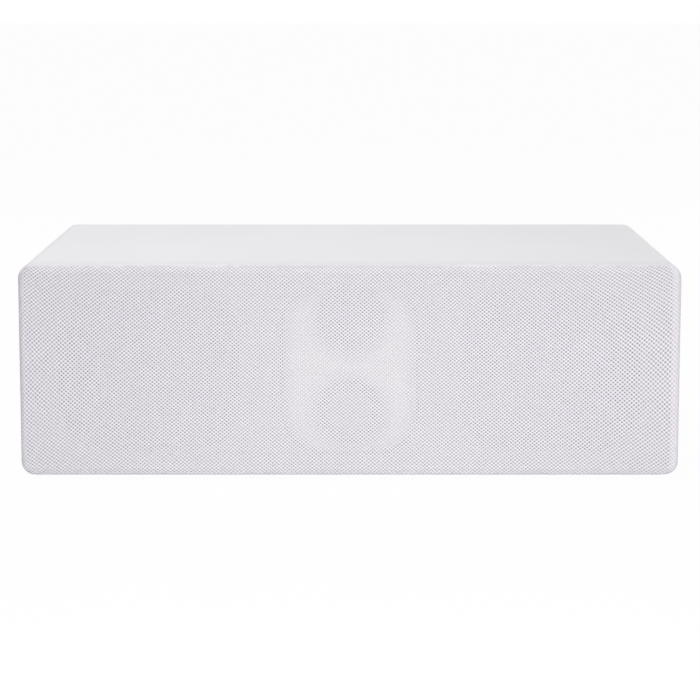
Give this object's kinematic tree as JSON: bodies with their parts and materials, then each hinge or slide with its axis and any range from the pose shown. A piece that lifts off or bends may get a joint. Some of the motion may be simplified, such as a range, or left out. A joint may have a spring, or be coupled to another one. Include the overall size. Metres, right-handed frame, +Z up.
{
  "type": "wireless speaker",
  "caption": "Low, wide wireless loudspeaker: a white lacquered cabinet with rounded long edges whose whole front is a pull-off cover of light grey mesh cloth.",
  "frame": {"origin": "middle of the object's box in plan, on the surface that the feet stand on", "axes": "+X to the right as the listener sees it, +Y to the rear, +Z up"},
  "size_m": [0.52, 0.28, 0.171],
  "materials": {
    "white_lacquer": "satin white lacquer on fibreboard",
    "dark_board": "matt dark paint on fibreboard",
    "white_board": "satin white paint on fibreboard",
    "plain_board": "bare fibreboard",
    "wadding": "loose polyester wadding",
    "rubber": "matt",
    "grille_cloth": "open stretch weave",
    "frame_plastic": "moulded, mid grey",
    "white_plastic": "moulded, satin white",
    "black_plastic": "moulded, fine grain",
    "basket": "matt black",
    "surround": "matt",
    "cone": "coated pulp",
    "spider": "resin-dipped cloth",
    "coil": "enamelled wire on a former",
    "steel": "zinc plated",
    "magnet": "ferrite",
    "dome_cloth": "doped cloth",
    "screws": "black",
    "service_plate": "brushed",
    "circuit_board": "solder resist",
    "heatsink": "extruded",
    "shield_can": "tinned can",
    "lens": "clear"
  },
  "bodies": {
    "cabinet": {"cabinet_shell": "white_lacquer", "front_baffle": "dark_board", "rear_panel": "white_board", "divider_left": "plain_board", "divider_right": "plain_board", "mid_chamber_back": "plain_board", "wadding_left": "wadding", "wadding_right": "wadding", "rubber_feet": "rubber", "peg_cups": "rubber", "driver_plate": "white_plastic", "port_tube_left": "black_plastic", "port_tube_right": "black_plastic", "mains_inlet": "black_plastic", "switch_housing": "black_plastic", "tweeter_frame": "black_plastic", "woofer_left_basket": "basket", "woofer_right_basket": "basket", "midrange_basket": "basket", "woofer_left_surround": "surround", "woofer_right_surround": "surround", "midrange_surround": "surround", "woofer_left_spider": "spider", "woofer_right_spider": "spider", "midrange_spider": "spider", "woofer_left_top_plate": "steel", "woofer_left_yoke": "steel", "woofer_right_top_plate": "steel", "woofer_right_yoke": "steel", "midrange_top_plate": "steel", "midrange_yoke": "steel", "tweeter_yoke": "steel", "transformer": "steel", "woofer_left_magnet": "magnet", "woofer_right_magnet": "magnet", "midrange_magnet": "magnet", "tweeter_magnet": "magnet", "tweeter_dome": "dome_cloth", "woofer_screws": "screws", "driver_plate_screws": "screws", "service_plate_screws": "screws", "service_plate": "service_plate", "main_board": "circuit_board", "heatsink": "heatsink", "wireless_module": "shield_can", "status_lens": "lens"},
    "cover": {"grille_frame": "frame_plastic", "grille_cloth": "grille_cloth"},
    "woofer_left_diaphragm": {"woofer_left_cone": "cone", "woofer_left_dust_cap": "cone", "woofer_left_voice_coil": "coil"},
    "woofer_right_diaphragm": {"woofer_right_cone": "cone", "woofer_right_dust_cap": "cone", "woofer_right_voice_coil": "coil"},
    "midrange_diaphragm": {"midrange_cone": "cone", "midrange_dust_cap": "cone", "midrange_voice_coil": "coil"},
    "rocker": {"power_rocker": "black_plastic"},
    "button": {"pairing_button": "black_plastic"}
  },
  "joints": [
    {"name": "cover_pull", "type": "slide", "parent": "cabinet", "child": "cover", "axis": [0, -1, 0], "range_m": [0, 0.05]},
    {"name": "woofer_left_travel", "type": "slide", "parent": "cabinet", "child": "woofer_left_diaphragm", "axis": [0, -1, 0], "range_m": [-0.004, 0.004], "stiffness_N_per_m": 1200, "deforming": ["woofer_left_surround", "woofer_left_spider"]},
    {"name": "woofer_right_travel", "type": "slide", "parent": "cabinet", "child": "woofer_right_diaphragm", "axis": [0, -1, 0], "range_m": [-0.004, 0.004], "stiffness_N_per_m": 1200, "deforming": ["woofer_right_surround", "woofer_right_spider"]},
    {"name": "midrange_travel", "type": "slide", "parent": "cabinet", "child": "midrange_diaphragm", "axis": [0, -1, 0], "range_m": [-0.0015, 0.0015], "stiffness_N_per_m": 900, "deforming": ["midrange_surround", "midrange_spider"]},
    {"name": "power_rock", "type": "hinge", "parent": "cabinet", "child": "rocker", "pos_m": [0.024, 0.133, 0.051], "axis": [1, 0, 0], "range_deg": [-16, 0]},
    {"name": "pairing_press", "type": "slide", "parent": "cabinet", "child": "button", "axis": [0, -1, 0], "range_m": [0, 0.0012], "stiffness_N_per_m": 800}
  ]
}
